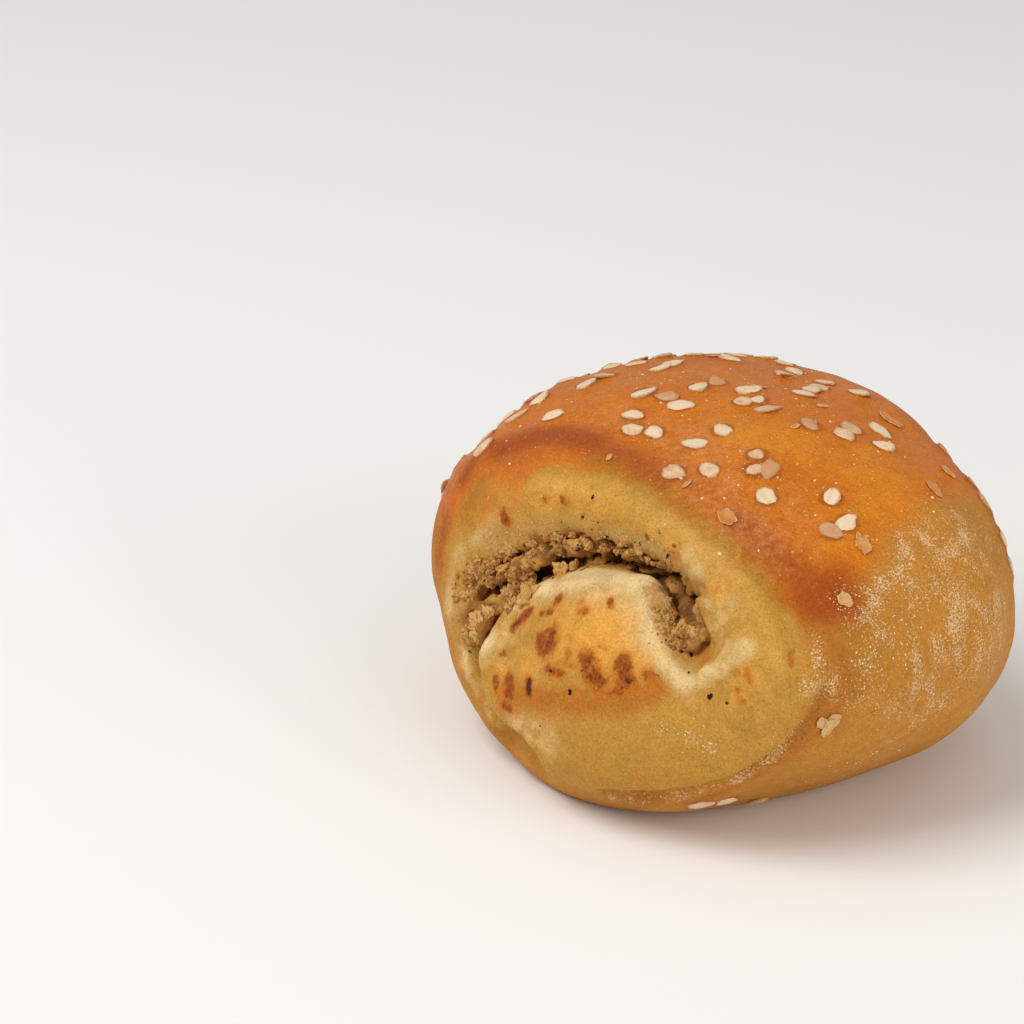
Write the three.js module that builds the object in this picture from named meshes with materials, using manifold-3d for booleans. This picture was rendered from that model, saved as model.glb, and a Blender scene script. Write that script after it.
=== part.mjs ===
// A baked meat pirozhok: one sheet of yeast dough wound round a layer of minced meat into a roll,
// cut across and baked lying on its side. +X runs across the roll, +Y along it from the cut end
// that shows to the far one, and +Z is up. All sizes are in millimetres.
import * as THREE from "three";
import { mergeVertices } from "three/addons/utils/BufferGeometryUtils.js";
import Module from "manifold-3d";

// Driving sizes of the baked roll, in the section across it and along it.
const HALF_WIDTH = 37.4;
const WAIST = 22.1; // height of the widest line
const CROWN = 41; // height of the top
const BASE_SINK = 5.1; // how much of the round underside is pressed flat
const HALF_LENGTH = 26.8;
const FRONT_SHOULDER = 11.7; // rounding of the crust into the cut end that shows
const BACK_SHOULDER = 9;
const BARREL_SLOPE = THREE.MathUtils.degToRad(19.5); // how steeply the roll thins behind a shoulder
const END_CROWN = 1; // how far the middle of a cut end stands out

// The section's outline is boxy at the upper left and rounder elsewhere.
const UPPER_LEFT_POWER = 2.6;
const UPPER_RIGHT_POWER = 2;
const LOWER_POWER = 1.8;

// The cut ends aren't square to the roll: each leans back at the top, and the far one is slanted
// on its right.
const FRONT_LEAN = 0.38;
const BACK_LEAN = 0.12;
const BACK_SLANT = -0.35;
const SLANT_BLEND = 10;

// The filling lies in a crescent that arches over the tongue, the sheet's inner end: thick at the
// left, thin over the tongue's right shoulder, and wide again in a pocket below that shoulder.
const TONGUE = new THREE.Vector2(8.5, 16.4);
const CRESCENT_LEFT = 23.6;
const CRESCENT_RIGHT = 12;
const CRESCENT_UP = 12.7;
const CRESCENT_FROM = THREE.MathUtils.degToRad(35); // beside the tongue's root, at the right
const CRESCENT_TO = THREE.MathUtils.degToRad(192); // low down beside the wrap's tail
const CRESCENT_TIP = 2;
const CRESCENT_THIN = 1.3;
const CRESCENT_THICK = 7.3;
const CRESCENT_BLUNT = 0.4; // the lower, the sooner the crescent is full behind its tips
const POCKET = { at: 0.1, spread: 0.12, wider: 4.8 }; // at and spread are shares of its length
const FILLING_CLEARANCE = 0.3;
const FILLING_RECESS = 1.6; // how far the filling sits back from the cut end

// Relief of a cut end: the tongue's belly stands out, a soft lip runs round the wrap, and the face
// sinks towards the crescent.
const BELLY = { x: 7, z: 12, left: 18, right: 19, up: 16, down: 12, out: 2.8 };
const LIP = { at: 0.82, spread: 0.1, out: 0.9, fromHeight: 12 };
const DISH = { sink: 2, spread: 0.22, fade: 8 };
const RELIEF_FROM = 0.55; // where along the half roll the relief begins, and where it is whole
const RELIEF_WHOLE = 0.95;

const RINGS = 47; // lengths round the profile
const SPOKES = 64;
const CRESCENT_POINTS = 28;
const CRESCENT_SLICES = 14;
const RADIUS = (HALF_WIDTH + CROWN - WAIST) / 2;

const wasm = await Module();
wasm.setup();

const smooth = (edge0, edge1, x) => THREE.MathUtils.smoothstep(x, edge0, edge1);
const bump = (x, at, spread) => Math.exp(-(((x - at) / spread) ** 2));

// A point of the roll's section at an angle to +X about the waist's middle. share is 1 on the
// crust and 0 at the axis.
function sectionPoint(angle, share) {
  const c = Math.cos(angle);
  const s = Math.sin(angle);
  const upper = c < 0 ? UPPER_LEFT_POWER : UPPER_RIGHT_POWER;
  const power = s > 0 ? upper : LOWER_POWER;
  const rise = s > 0 ? CROWN - WAIST : WAIST + BASE_SINK;
  const x = Math.sign(c) * Math.abs(c) ** (2 / power) * HALF_WIDTH * share;
  const z = Math.sign(s) * Math.abs(s) ** (2 / power) * rise * share + WAIST;
  return new THREE.Vector2(x, Math.max(z, 0));
}

// How far the relief of a cut end stands out at a place of the section.
function reliefAt(x, z, share) {
  const across = (x - BELLY.x) / (x < BELLY.x ? BELLY.left : BELLY.right);
  const up = (z - BELLY.z) / (z > BELLY.z ? BELLY.up : BELLY.down);
  const belly = BELLY.out * (1 - smooth(0.15, 1.15, Math.hypot(across, up)));
  const lip = LIP.out * bump(share, LIP.at, LIP.spread) * smooth(0, LIP.fromHeight, z);
  const wide = x < TONGUE.x ? CRESCENT_LEFT : CRESCENT_RIGHT;
  const ring = Math.hypot((x - TONGUE.x) / wide, (z - TONGUE.y) / CRESCENT_UP);
  const dish = DISH.sink * bump(ring, 1, DISH.spread) * smooth(0, DISH.fade, z - TONGUE.y);
  return belly + lip - dish;
}

// How far a point at y is moved along the roll by the lean and slant of its end and by the relief.
function endShift(x, y, z, share) {
  const end = Math.abs(y) / HALF_LENGTH;
  const relief = smooth(RELIEF_FROM, RELIEF_WHOLE, end) * reliefAt(x, z, share);
  const slant = BACK_SLANT * (x + Math.hypot(x, SLANT_BLEND)) / 2;
  const lean = y < 0 ? -FRONT_LEAN * (WAIST - z) : BACK_LEAN * (WAIST - z) + slant;
  return end * lean + Math.sign(y) * relief;
}

// Half the roll's outline from above: from one cut end's middle over both shoulders to the other's.
function rollProfile() {
  const inset = 1 - Math.sin(BARREL_SLOPE);
  const frontY = FRONT_SHOULDER * inset - HALF_LENGTH;
  const backY = HALF_LENGTH - BACK_SHOULDER * inset;
  const swell = Math.tan(BARREL_SLOPE) * (backY - frontY) / 4;
  const side = RADIUS - swell;
  const front = side - FRONT_SHOULDER * Math.cos(BARREL_SLOPE);
  const back = side - BACK_SHOULDER * Math.cos(BARREL_SLOPE);
  const tip = HALF_LENGTH + END_CROWN;
  const path = new THREE.Path();
  path.moveTo(0, -tip);
  path.quadraticCurveTo(front / 2, -tip, front, -HALF_LENGTH);
  path.absarc(front, FRONT_SHOULDER - HALF_LENGTH, FRONT_SHOULDER, -Math.PI / 2, -BARREL_SLOPE);
  path.quadraticCurveTo(side + 2 * swell, (frontY + backY) / 2, side, backY);
  path.absarc(back, HALF_LENGTH - BACK_SHOULDER, BACK_SHOULDER, BARREL_SLOPE, Math.PI / 2);
  path.quadraticCurveTo(back / 2, tip, 0, tip);
  return path.getSpacedPoints(RINGS);
}

// The whole roll without the crescent.
function rollGeometry() {
  const geometry = new THREE.LatheGeometry(rollProfile(), SPOKES);
  const place = geometry.getAttribute("position");
  for (let i = 0; i < place.count; i++) {
    const share = Math.hypot(place.getX(i), place.getZ(i)) / RADIUS;
    const { x, y: z } = sectionPoint(Math.atan2(place.getZ(i), place.getX(i)), share);
    const y = place.getY(i);
    place.setXYZ(i, x, y + endShift(x, y, z, share), z);
  }
  return geometry;
}

// A point on one side of the crescent: t runs from its right tip (0) to its left one (1).
function crescentPoint(t, side, grow) {
  const angle = THREE.MathUtils.lerp(CRESCENT_FROM, CRESCENT_TO, t);
  const across = Math.cos(angle) < 0 ? CRESCENT_LEFT : CRESCENT_RIGHT;
  const taper = Math.max(Math.sin(Math.PI * t), 0) ** CRESCENT_BLUNT;
  const pocket = POCKET.wider * bump(t, POCKET.at, POCKET.spread);
  const full = THREE.MathUtils.lerp(CRESCENT_THIN, CRESCENT_THICK, t * t) + pocket;
  const half = THREE.MathUtils.lerp(CRESCENT_TIP, full, taper) / 2;
  const off = side * (half + grow);
  return new THREE.Vector2(
    TONGUE.x + Math.cos(angle) * (across + off),
    TONGUE.y + Math.sin(angle) * (CRESCENT_UP + off),
  );
}

// The crescent's outline in the section, widened or narrowed on both sides.
function crescentShape(grow) {
  const shape = new THREE.Shape();
  const steps = Array.from({ length: CRESCENT_POINTS + 1 }, (_, i) => i / CRESCENT_POINTS);
  const outer = steps.map((t) => crescentPoint(t, 1, grow));
  const inner = steps.map((t) => crescentPoint(1 - t, -1, grow));
  return shape.setFromPoints([...outer, ...inner]);
}

// The crescent drawn out along the roll, from -reach to +reach.
function crescentGeometry(grow, reach) {
  const geometry = new THREE.ExtrudeGeometry(crescentShape(grow), {
    depth: 2 * reach, steps: CRESCENT_SLICES, bevelEnabled: false,
  });
  geometry.rotateX(Math.PI / 2); // the extrusion's own +Z now runs along -Y
  geometry.translate(0, reach, 0);
  return geometry;
}

// A geometry with its shared vertices merged, as a solid that can be cut.
function solidOf(geometry) {
  const bare = geometry.clone();
  bare.deleteAttribute("normal");
  bare.deleteAttribute("uv");
  const merged = mergeVertices(bare, 1e-3);
  return new wasm.Manifold(new wasm.Mesh({
    numProp: 3,
    vertProperties: new Float32Array(merged.getAttribute("position").array),
    triVerts: new Uint32Array(merged.index.array),
  }));
}

function geometryOf(solid) {
  const mesh = solid.getMesh();
  const geometry = new THREE.BufferGeometry();
  geometry.setAttribute("position", new THREE.BufferAttribute(new Float32Array(mesh.vertProperties), 3));
  geometry.setIndex(new THREE.BufferAttribute(new Uint32Array(mesh.triVerts), 1));
  geometry.computeVertexNormals();
  return geometry;
}

function makeDough() {
  const roll = solidOf(rollGeometry());
  const crescent = solidOf(crescentGeometry(0, 2 * HALF_LENGTH)); // it reaches past both ends
  const material = new THREE.MeshStandardMaterial({ color: 0xcf7c30, roughness: 0.55, metalness: 0 });
  const mesh = new THREE.Mesh(geometryOf(roll.subtract(crescent)), material);
  mesh.name = "dough";
  return mesh;
}

// The filling's ends follow the relief of the cut ends, a little way in.
function makeFilling() {
  const geometry = crescentGeometry(-FILLING_CLEARANCE, HALF_LENGTH);
  const shorter = 1 - FILLING_RECESS / HALF_LENGTH;
  const place = geometry.getAttribute("position");
  for (let i = 0; i < place.count; i++) {
    const x = place.getX(i);
    const y = place.getY(i);
    const z = place.getZ(i);
    place.setY(i, y * shorter + endShift(x, y, z, 0));
  }
  const material = new THREE.MeshStandardMaterial({ color: 0xa8753c, roughness: 0.8, metalness: 0 });
  const mesh = new THREE.Mesh(geometry, material);
  mesh.name = "meat_filling";
  return mesh;
}

const pirozhok = new THREE.Group();
pirozhok.name = "pirozhok";
pirozhok.add(makeDough(), makeFilling());

// The origin is under the middle of the roll, on the surface it rests on.
const bounds = new THREE.Box3().setFromObject(pirozhok);
const middle = bounds.getCenter(new THREE.Vector3());
pirozhok.position.set(-middle.x, -middle.y, -bounds.min.z);

export default pirozhok;
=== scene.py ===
import math
import random

import bmesh
import bpy
import numpy as np
from mathutils import Matrix, Vector, noise
from mathutils.bvhtree import BVHTree
from mathutils.kdtree import KDTree


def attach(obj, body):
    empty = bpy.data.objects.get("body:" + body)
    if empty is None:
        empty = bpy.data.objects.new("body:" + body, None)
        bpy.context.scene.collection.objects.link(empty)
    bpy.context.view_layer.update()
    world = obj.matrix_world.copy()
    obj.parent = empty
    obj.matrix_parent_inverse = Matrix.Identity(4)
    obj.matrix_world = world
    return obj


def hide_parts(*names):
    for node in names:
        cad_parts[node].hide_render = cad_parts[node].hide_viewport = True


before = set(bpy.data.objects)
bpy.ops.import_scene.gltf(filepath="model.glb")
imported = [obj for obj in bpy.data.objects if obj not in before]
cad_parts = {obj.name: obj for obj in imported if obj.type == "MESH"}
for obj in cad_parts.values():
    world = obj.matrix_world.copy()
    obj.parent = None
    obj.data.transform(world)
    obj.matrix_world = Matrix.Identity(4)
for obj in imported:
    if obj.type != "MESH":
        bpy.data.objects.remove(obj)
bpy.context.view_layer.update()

MM = 0.001  # sizes are in millimetres, and Blender's meshes in metres

# ---------------------------------------------------------------------------------------------
# Camera. A long lens stands to the right of the cut end and a little above it, and holds the
# roll low at the right of the frame. Places on the roll are also found through it, by pixel.
CAMERA_TURN = math.radians(50)  # round the roll from straight in front of its cut end
CAMERA_RISE = math.radians(23)
CAMERA_AWAY = 450
ROLL_MIDDLE = Vector((1.407, -1.663, 20))
ROLL_MIDDLE_PIXEL = (726, 583)
PIXELS_PER_MM = 8.4  # at the roll's middle
FRAME_SIDE = 1024  # pixels
SENSOR_WIDTH = 36

back = Vector((
    math.sin(CAMERA_TURN) * math.cos(CAMERA_RISE),
    -math.cos(CAMERA_TURN) * math.cos(CAMERA_RISE),
    math.sin(CAMERA_RISE),
))
right = Vector((math.cos(CAMERA_TURN), math.sin(CAMERA_TURN), 0))
up = back.cross(right)
focal_pixels = PIXELS_PER_MM * CAMERA_AWAY
aside = (ROLL_MIDDLE_PIXEL[0] - FRAME_SIDE / 2) / PIXELS_PER_MM
below = (ROLL_MIDDLE_PIXEL[1] - FRAME_SIDE / 2) / PIXELS_PER_MM
eye = ROLL_MIDDLE - right * aside + up * below + back * CAMERA_AWAY

camera = bpy.data.objects.new("camera", bpy.data.cameras.new("camera"))
camera.data.sensor_width = SENSOR_WIDTH
camera.data.lens = SENSOR_WIDTH * focal_pixels / FRAME_SIDE
camera.data.clip_end = 10
camera.location = eye * MM
camera.rotation_mode = "QUATERNION"
camera.rotation_quaternion = (-back).to_track_quat("-Z", "Y")
bpy.context.scene.collection.objects.link(camera)
bpy.context.scene.camera = camera


def ray_through(pixel):
    across = (pixel[0] - FRAME_SIDE / 2) / focal_pixels
    down = (pixel[1] - FRAME_SIDE / 2) / focal_pixels
    return (right * across - up * down - back).normalized()


# ---------------------------------------------------------------------------------------------
# Dough. One sheet of yeast dough, wound round the mince into a roll, cut across and baked lying
# on its side, so that its underside is flat. The egg-washed crust browned, the cut ends stayed
# pale, and the tongue, the sheet's inner end, swelled out of the cut end below the filling.
HALF_WIDTH = 37.4
WAIST = 22.1  # height of the widest line
CROWN = 41
BASE_SINK = 5.1  # how much of the round underside is pressed flat
HALF_LENGTH = 26.8
FRONT_SHOULDER = 11.7
BACK_SHOULDER = 9
BARREL_SLOPE = math.radians(19.5)  # how steeply the roll thins behind a shoulder
END_CROWN = 1
UPPER_LEFT_POWER = 2.6  # the section is boxy at the upper left and rounder elsewhere
UPPER_RIGHT_POWER = 2
LOWER_POWER = 1.8
FRONT_LEAN = 0.38  # the cut ends lean back at the top, and the far one is slanted on its right
BACK_LEAN = 0.12
BACK_SLANT = -0.35
SLANT_BLEND = 10
TONGUE_X, TONGUE_Z = 8.5, 16.4  # the crescent of filling arches round this point
CRESCENT_LEFT = 23.6
CRESCENT_RIGHT = 12
CRESCENT_UP = 12.7
CRESCENT_FROM = math.radians(35)
CRESCENT_TO = math.radians(192)
CRESCENT_TIP = 2
CRESCENT_THIN = 1.3
CRESCENT_THICK = 7.3
CRESCENT_BLUNT = 0.4
POCKET_AT, POCKET_SPREAD, POCKET_WIDER = 0.1, 0.12, 4.8  # below the tongue's right shoulder
BELLY_X, BELLY_Z, BELLY_OUT = 7, 12, 2.8  # where the tongue's belly stands out most
BELLY_LEFT, BELLY_RIGHT, BELLY_UP, BELLY_DOWN = 18, 19, 16, 12  # how far it reaches from there
LIP_AT, LIP_SPREAD, LIP_OUT, LIP_FROM_HEIGHT = 0.82, 0.1, 0.9, 12  # a soft lip runs round the wrap
DISH_SINK, DISH_SPREAD, DISH_FADE = 2, 0.22, 8  # and the face sinks towards the crescent
RELIEF_FROM, RELIEF_WHOLE = 0.55, 0.95  # where along the half roll the relief begins and is whole
RADIUS = (HALF_WIDTH + CROWN - WAIST) / 2


def smooth(low, high, x):
    t = np.clip((x - low) / (high - low), 0, 1)
    return t * t * (3 - 2 * t)


def bump(x, at, spread):
    return np.exp(-(((x - at) / spread) ** 2))


def mix(a, b, t):
    return a + (b - a) * t


def section_powers(x, rise):
    upper = np.where(x < 0, UPPER_LEFT_POWER, UPPER_RIGHT_POWER)
    return np.where(rise > 0, upper, LOWER_POWER)


def section_heights(rise):
    return np.where(rise > 0, CROWN - WAIST, WAIST + BASE_SINK)


def section_point(across, rise, share):
    """The place in the section that lies in the direction across, rise from its middle."""
    reach = np.maximum(np.hypot(across, rise), 1e-9)
    c, s = across / reach, rise / reach
    power = section_powers(c, s)
    x = np.sign(c) * np.abs(c) ** (2 / power) * HALF_WIDTH * share
    z = np.sign(s) * np.abs(s) ** (2 / power) * section_heights(s) * share + WAIST
    return x, np.maximum(z, 0)


def share_at(x, z):
    """How far out a place in the section lies: 0 at the axis and 1 on the crust."""
    rise = z - WAIST
    power = section_powers(x, rise)
    high = np.abs(rise / section_heights(rise)) ** power
    return (np.abs(x / HALF_WIDTH) ** power + high) ** (1 / power)


def crescent_ring(x, z):
    """1 along the middle of the crescent, less on the tongue and more on the wrap."""
    wide = np.where(x < TONGUE_X, CRESCENT_LEFT, CRESCENT_RIGHT)
    return np.hypot((x - TONGUE_X) / wide, (z - TONGUE_Z) / CRESCENT_UP)


def relief_at(x, z, share):
    """How far a cut end stands out: the belly of the tongue, the wrap's lip, the dish between."""
    across = (x - BELLY_X) / np.where(x < BELLY_X, BELLY_LEFT, BELLY_RIGHT)
    rise = (z - BELLY_Z) / np.where(z > BELLY_Z, BELLY_UP, BELLY_DOWN)
    belly = BELLY_OUT * (1 - smooth(0.15, 1.15, np.hypot(across, rise)))
    lip = LIP_OUT * bump(share, LIP_AT, LIP_SPREAD) * smooth(0, LIP_FROM_HEIGHT, z)
    dish = DISH_SINK * bump(crescent_ring(x, z), 1, DISH_SPREAD) * smooth(0, DISH_FADE, z - TONGUE_Z)
    return belly + lip - dish


def end_shift(x, y, z, share):
    """How far a place is moved along the roll by its end's lean, slant and relief."""
    end = np.abs(y) / HALF_LENGTH
    relief = smooth(RELIEF_FROM, RELIEF_WHOLE, end) * relief_at(x, z, share)
    slant = BACK_SLANT * (x + np.hypot(x, SLANT_BLEND)) / 2
    lean = np.where(y < 0, -FRONT_LEAN * (WAIST - z), BACK_LEAN * (WAIST - z) + slant)
    return end * lean + np.sign(y) * relief


def flat_place(x, y, z, share):
    """Where along the roll a place lay before its end was given the lean and the relief."""
    flat = y
    for _ in range(8):  # each round comes closer
        flat = y - end_shift(x, flat, z, share)
    return flat


def roll_profile():
    """Half the roll's outline from above, from one cut end's middle to the other's."""
    inset = 1 - math.sin(BARREL_SLOPE)
    front_y = FRONT_SHOULDER * inset - HALF_LENGTH
    back_y = HALF_LENGTH - BACK_SHOULDER * inset
    swell = math.tan(BARREL_SLOPE) * (back_y - front_y) / 4
    side = RADIUS - swell
    tip = HALF_LENGTH + END_CROWN
    halves = []
    for shoulder, end in ((FRONT_SHOULDER, -1), (BACK_SHOULDER, 1)):
        rim = side - shoulder * math.cos(BARREL_SLOPE)
        crown = [(rim * t, end * (tip - END_CROWN * t * t)) for t in np.linspace(0, 1, 26)]
        middle = HALF_LENGTH - shoulder
        arc = [
            (rim + shoulder * math.sin(turn), end * (middle + shoulder * math.cos(turn)))
            for turn in np.linspace(0, math.pi / 2 - BARREL_SLOPE, 17)
        ]
        halves.append(crown + arc[1:])
    front, rear = halves
    barrel = [
        (side + swell * 4 * t * (1 - t), mix(front_y, back_y, t))
        for t in np.linspace(0, 1, 40)[1:-1]
    ]
    return front + barrel + rear[::-1]


def crescent_half(t):
    """Half the crescent's width, from its right tip (t = 0) to its left one (t = 1)."""
    taper = np.maximum(np.sin(math.pi * t), 0) ** CRESCENT_BLUNT
    pocket = POCKET_WIDER * bump(t, POCKET_AT, POCKET_SPREAD)
    return mix(CRESCENT_TIP, mix(CRESCENT_THIN, CRESCENT_THICK, t * t) + pocket, taper) / 2


def crescent_point(t, side, grow):
    """A point on the crescent's outer side (1) or its inner one (-1)."""
    angle = mix(CRESCENT_FROM, CRESCENT_TO, t)
    across = CRESCENT_LEFT if math.cos(angle) < 0 else CRESCENT_RIGHT
    off = side * (crescent_half(t) + grow)
    x = TONGUE_X + math.cos(angle) * (across + off)
    return x, TONGUE_Z + math.sin(angle) * (CRESCENT_UP + off)


def new_piece(name, bm):
    mesh = bpy.data.meshes.new(name)
    bm.to_mesh(mesh)
    bm.free()
    mesh.polygons.foreach_set("use_smooth", [True] * len(mesh.polygons))
    piece = bpy.data.objects.new(name, mesh)
    bpy.context.scene.collection.objects.link(piece)
    return piece


def apply_modifiers(piece):
    depsgraph = bpy.context.evaluated_depsgraph_get()
    made = bpy.data.meshes.new_from_object(piece.evaluated_get(depsgraph))
    piece.modifiers.clear()
    piece.data = made


def remesh(piece, voxel):
    modifier = piece.modifiers.new("remesh", "REMESH")
    modifier.mode = "VOXEL"
    modifier.voxel_size = voxel * MM
    modifier.use_smooth_shade = True
    apply_modifiers(piece)


def soften(piece, times):
    bm = bmesh.new()
    bm.from_mesh(piece.data)
    for _ in range(times):
        bmesh.ops.smooth_vert(
            bm, verts=bm.verts, factor=0.5, use_axis_x=True, use_axis_y=True, use_axis_z=True
        )
    bm.to_mesh(piece.data)
    bm.free()


def places_of(piece):
    flat = np.empty(len(piece.data.vertices) * 3)
    piece.data.vertices.foreach_get("co", flat)
    return flat.reshape(-1, 3) / MM


def move_to(piece, places):
    piece.data.vertices.foreach_set("co", (places * MM).ravel())
    piece.data.update()


def normals_of(piece):
    flat = np.empty(len(piece.data.vertices) * 3)
    piece.data.vertex_normals.foreach_get("vector", flat)
    return flat.reshape(-1, 3)


def noise_at(places, size):
    """Soft noise from about -1 to 1 with lumps of a size in millimetres."""
    return np.array([noise.noise(Vector(p)) for p in places / size]) * 2


def paint(piece, name, values):
    layer = piece.data.attributes.new(name, "FLOAT", "POINT")
    layer.data.foreach_set("value", np.clip(values, 0, 1).astype(np.float32))


# the roll: its outline spun round its axis, then given the section, the leaning ends and the relief
bm = bmesh.new()
outline = [bm.verts.new((r, y, 0)) for r, y in roll_profile()]
edges = [bm.edges.new(pair) for pair in zip(outline, outline[1:])]
bmesh.ops.spin(
    bm, geom=outline + edges, cent=(0, 0, 0), axis=(0, 1, 0), angle=2 * math.pi, steps=128,
    use_merge=True,
)
bmesh.ops.remove_doubles(bm, verts=bm.verts, dist=1e-4)
for v in bm.verts:
    share = math.hypot(v.co.x, v.co.z) / RADIUS
    x, z = section_point(v.co.x, v.co.z, share)
    v.co = (x, v.co.y + end_shift(x, v.co.y, z, share), z)
bmesh.ops.recalc_face_normals(bm, faces=bm.faces)
low = Vector([min(v.co[i] for v in bm.verts) for i in range(3)])
high = Vector([max(v.co[i] for v in bm.verts) for i in range(3)])
centring = -(low + high) / 2
centring.z = 0
bmesh.ops.translate(bm, verts=bm.verts, vec=centring)
bmesh.ops.scale(bm, verts=bm.verts, vec=(MM, MM, MM))
dough = new_piece("baked_dough", bm)

CRESCENT_STEPS = 44
MOUTH_FROM, MOUTH_WHOLE, MOUTH_NARROWS = 0.05, 0.4, 0.8  # along the crescent from its right tip
DOUGH_VOXEL = 0.5


def crescent_bar(name, stations):
    """A bar of the crescent's section along the roll. Each station gives the cut end it belongs
    to (-1 or 1), how far under that end it lies, and how much wider the section is there, on the
    wrap's side and on the tongue's."""
    steps = [i / CRESCENT_STEPS for i in range(CRESCENT_STEPS + 1)]
    opening = [smooth(MOUTH_FROM, MOUTH_WHOLE, t) for t in steps]
    closing = [0.7 * smooth(MOUTH_NARROWS, 1, t) for t in steps]
    open_at = [float(a * (1 - b)) for a, b in zip(opening, closing)]
    bm = bmesh.new()
    cap = bm.faces.new([bm.verts.new((i, 0, 0)) for i in range(2 * len(steps))])
    for k, (end, depth, grow_out, grow_in) in enumerate(stations):
        if k:
            made = bmesh.ops.extrude_face_region(bm, geom=[cap])["geom"]
            if k > 1:
                bm.faces.remove(cap)
            cap = next(f for f in made if isinstance(f, bmesh.types.BMFace))
        outer = [crescent_point(t, 1, grow_out * opened) for t, opened in zip(steps, open_at)]
        inner = [crescent_point(t, -1, grow_in * opened) for t, opened in zip(steps, open_at)]
        flat = end * (HALF_LENGTH + END_CROWN)
        for v, (x, z) in zip(cap.verts, outer + inner[::-1]):
            y = flat + float(end_shift(x, flat, z, 0)) - end * depth
            v.co = (Vector((x, y, z)) + centring) * MM
    bmesh.ops.recalc_face_normals(bm, faces=bm.faces)
    return new_piece(name, bm)


# the gap for the filling, cut right through, with both its mouths rounded over
MOUTH = (  # depth under the cut end, how much wider on the wrap's side, and on the tongue's
    (-9, 1.3, 0.9), (0, 1.3, 0.9), (0.5, 0.85, 0.5), (1.2, 0.5, 0.22), (2.4, 0.15, 0.06), (4, 0, 0),
)
stations = [(-1, *station) for station in MOUTH]
stations += [(1, *station) for station in reversed(MOUTH)]
cutter = crescent_bar("cutter", stations)
cut = dough.modifiers.new("cut", "BOOLEAN")
cut.operation = "DIFFERENCE"
cut.object = cutter
cut.solver = "EXACT"
remesh(dough, DOUGH_VOXEL)
bpy.data.objects.remove(cutter)
soften(dough, 5)

# where each point of the plain form lies: in the section, along the roll, and from the crescent
shift = np.array(centring)
rest_x, rest_y, rest_z = (places_of(dough) - shift).T
share = share_at(rest_x, rest_z)
flat_y = flat_place(rest_x, rest_y, rest_z, share)
at_front = flat_y < 0


def crescent_wall(x, z):
    """How far places are from the crescent's wall, how far across it they lie (-1 on the tongue's
    side to 1 on the wrap's) and how far along it, from its right tip (0) to its left one (1)."""
    ring = np.maximum(crescent_ring(x, z), 1e-6)
    wide = np.where(x < TONGUE_X, CRESCENT_LEFT, CRESCENT_RIGHT)
    angle = np.arctan2((z - TONGUE_Z) / CRESCENT_UP, (x - TONGUE_X) / wide)
    angle = np.where(angle < -math.pi / 2, angle + 2 * math.pi, angle)
    t = (angle - CRESCENT_FROM) / (CRESCENT_TO - CRESCENT_FROM)
    along = np.clip(t, 0, 1)
    half = crescent_half(along)
    off = np.hypot(x - TONGUE_X, z - TONGUE_Z) * (1 - 1 / ring)
    tips = crescent_point(0, 1, 0), crescent_point(1, 1, 0)
    past = np.minimum(*[np.hypot(x - tip_x, z - tip_z) for tip_x, tip_z in tips]) - CRESCENT_TIP / 2
    wall = np.where((t < 0) | (t > 1), past, np.abs(off) - half)
    return np.maximum(wall, 0), off / half, along


wall, across, along = crescent_wall(rest_x, rest_z)
on_wrap = across > 0
depth = HALF_LENGTH + END_CROWN - np.abs(flat_y)
in_gap = smooth(1.2, 3, depth) * (1 - smooth(0.4, 1, wall))


def surface_of(*pieces):
    """The surface of one piece or of several, for rays to be cast at."""
    points, faces = [], []
    for piece in pieces:
        start = len(points)
        points += places_of(piece).tolist()
        faces += [tuple(i + start for i in p.vertices) for p in piece.data.polygons]
    return BVHTree.FromPolygons(points, faces)


def seen_at(pixel):
    """The place on the roll that the camera sees at a pixel, or the nearest one beside it."""
    ray = ray_through(pixel)
    place, normal, *_ = surface.ray_cast(eye, ray)
    if place is None:
        place, normal, *_ = surface.find_nearest(eye + ray * (ROLL_MIDDLE - eye).dot(ray))
    return place, normal


def gap_from(pixels):
    """How far each point of the dough is from a spot or a line at pixels of its seen side."""
    spots = np.array([seen_at(pixel)[0] for pixel in pixels])
    gap = np.full(len(places), 1e9)
    for a, b in zip(spots, spots[1:] if len(spots) > 1 else spots):
        run = b - a
        t = np.clip((places - a) @ run / max(run @ run, 1e-9), 0, 1)
        gap = np.minimum(gap, np.linalg.norm(places - a - t[:, None] * run, axis=1))
    return gap


surface = surface_of(dough)
places = places_of(dough)

# the line where the browned crust gives way to the pale cut end
CRUST_END = (
    (438, 600), (441, 562), (451, 524), (468, 492), (505, 481), (533, 469), (561, 461), (590, 464),
    (627, 470), (660, 490), (694, 511), (730, 535), (756, 562), (779, 591), (800, 620), (815, 652),
    (818, 690), (797, 728), (769, 759), (736, 779), (685, 795), (640, 797),
)
BACK_RIM = 25.8  # the same line at the far end
rim_x, rim_y, rim_z = (np.array([seen_at(pixel)[0] for pixel in CRUST_END]) - shift).T
rim_flat = flat_place(rim_x, rim_y, rim_z, share_at(rim_x, rim_z))
rim_turn = np.arctan2(rim_z - WAIST, rim_x)
turn = np.arctan2(rest_z - WAIST, rest_x)
order = np.argsort(rim_turn)
rim_at = np.interp(turn, rim_turn[order], rim_flat[order], period=2 * math.pi)
behind_rim = np.where(at_front, flat_y - rim_at, BACK_RIM - flat_y)
behind_rim = behind_rim + 0.5 * noise_at(places, 4)
crust = smooth(-2.6, 1.4, behind_rim)

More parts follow.
